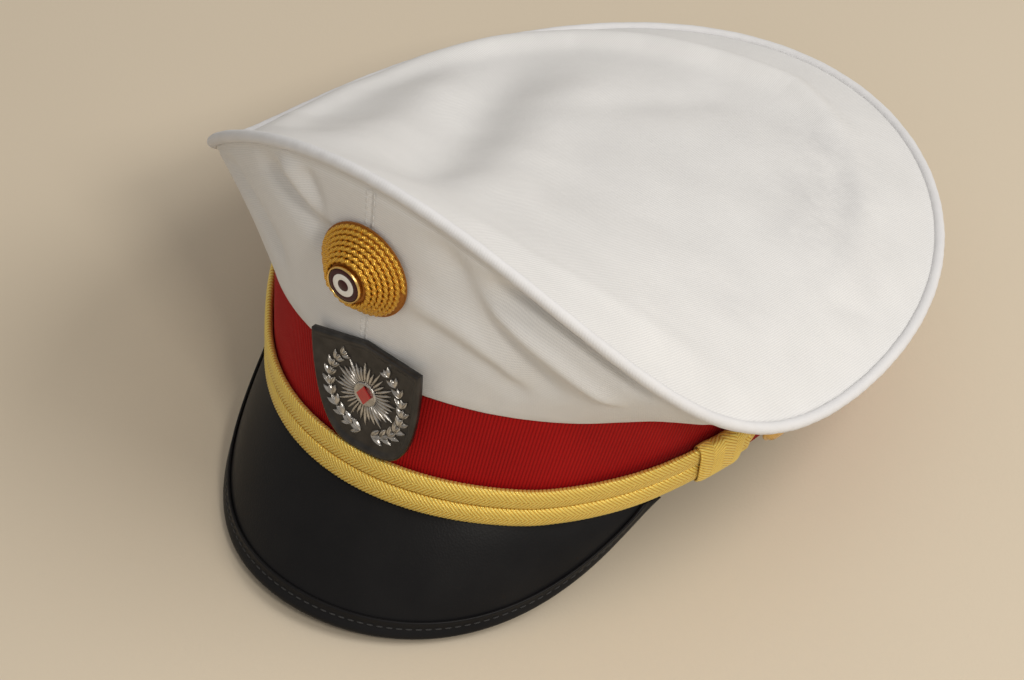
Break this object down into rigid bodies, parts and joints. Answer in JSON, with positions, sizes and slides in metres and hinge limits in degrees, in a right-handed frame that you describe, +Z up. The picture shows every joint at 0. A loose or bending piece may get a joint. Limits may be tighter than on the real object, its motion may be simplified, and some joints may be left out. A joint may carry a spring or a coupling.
{
  "type": "peaked service cap",
  "caption": "White-topped military peaked cap with red ribbed band, black peak, two-row gold chin cord with slides, wound cockade, shield badge, side buttons and full inside.",
  "frame": {"origin": "centre of the cap's footprint on the surface it stands on", "axes": "+X to the wearer's left, -Y the way the peak points, +Z up; the cap rests on the tip of its peak and the back of its band"},
  "size_m": [0.2264, 0.2983, 0.1562],
  "materials": {
    "white_cotton": "matt twill, fine diagonal rib",
    "piping_cotton": "matt twill over cord",
    "red_ribbon": "ribbed grosgrain, slight sheen",
    "stiffener_card": "matt",
    "sweat_leather": "smooth, satin",
    "pad_foam": "matt",
    "lining_satin": "satin",
    "clear_shield": "clear gloss sheet",
    "black_peak": "fine grained, satin",
    "peak_lining": "matt",
    "gold_braid": "metallic thread, plaited",
    "gold_metal": "polished gilt",
    "steel_wire": "drawn wire",
    "washer_steel": "plain stamped",
    "dark_metal": "dark satin",
    "silver_metal": "bright silvered",
    "red_enamel": "gloss enamel",
    "maroon_enamel": "gloss enamel",
    "white_enamel": "gloss enamel"
  },
  "bodies": {
    "cap": {"crown_top": "white_cotton", "quarter_front_left": "white_cotton", "quarter_front_right": "white_cotton", "quarter_rear_left": "white_cotton", "quarter_rear_right": "white_cotton", "crown_piping": "piping_cotton", "crown_wire": "steel_wire", "wire_ferrule": "gold_metal", "front_stay": "steel_wire", "lining": "lining_satin", "sweat_shield": "clear_shield", "band_ribbon": "red_ribbon", "band_stiffener": "stiffener_card", "sweatband": "sweat_leather", "forehead_pad": "pad_foam", "peak": "black_peak", "peak_underlining": "peak_lining", "peak_binding": "black_peak", "chin_cord_upper": "gold_braid", "chin_cord_lower": "gold_braid", "side_button_washers": "washer_steel", "cockade_back_plate": "gold_metal", "cockade_cone": "gold_braid", "cockade_winding": "gold_braid", "cockade_bezel": "gold_metal", "cockade_enamel_dark": "maroon_enamel", "cockade_enamel_white": "white_enamel", "badge_shield": "dark_metal", "badge_relief": "silver_metal", "badge_enamel": "red_enamel", "badge_nuts": "washer_steel"},
    "slide_left": {"cord_slide_left": "gold_braid"},
    "slide_right": {"cord_slide_right": "gold_braid"},
    "button_left": {"side_button_left": "gold_metal"},
    "button_right": {"side_button_right": "gold_metal"}
  },
  "joints": [
    {"name": "slide_left_travel", "type": "hinge", "parent": "cap", "child": "slide_left", "pos_m": [-0.0298, -0.00714, -0.00715], "axis": [0.3671, -0.0935, -0.9255], "range_deg": [0, 5]},
    {"name": "slide_right_travel", "type": "hinge", "parent": "cap", "child": "slide_right", "pos_m": [0.0298, -0.00714, -0.00715], "axis": [0.3671, 0.0935, 0.9255], "range_deg": [0, 5]},
    {"name": "button_left_turn", "type": "hinge", "parent": "cap", "child": "button_left", "pos_m": [0.09181, -0.01498, 0.03978], "axis": [0.9812, -0.0896, -0.1707], "continuous": true},
    {"name": "button_right_turn", "type": "hinge", "parent": "cap", "child": "button_right", "pos_m": [-0.09181, -0.01498, 0.03978], "axis": [-0.9812, -0.0896, -0.1707], "continuous": true}
  ]
}
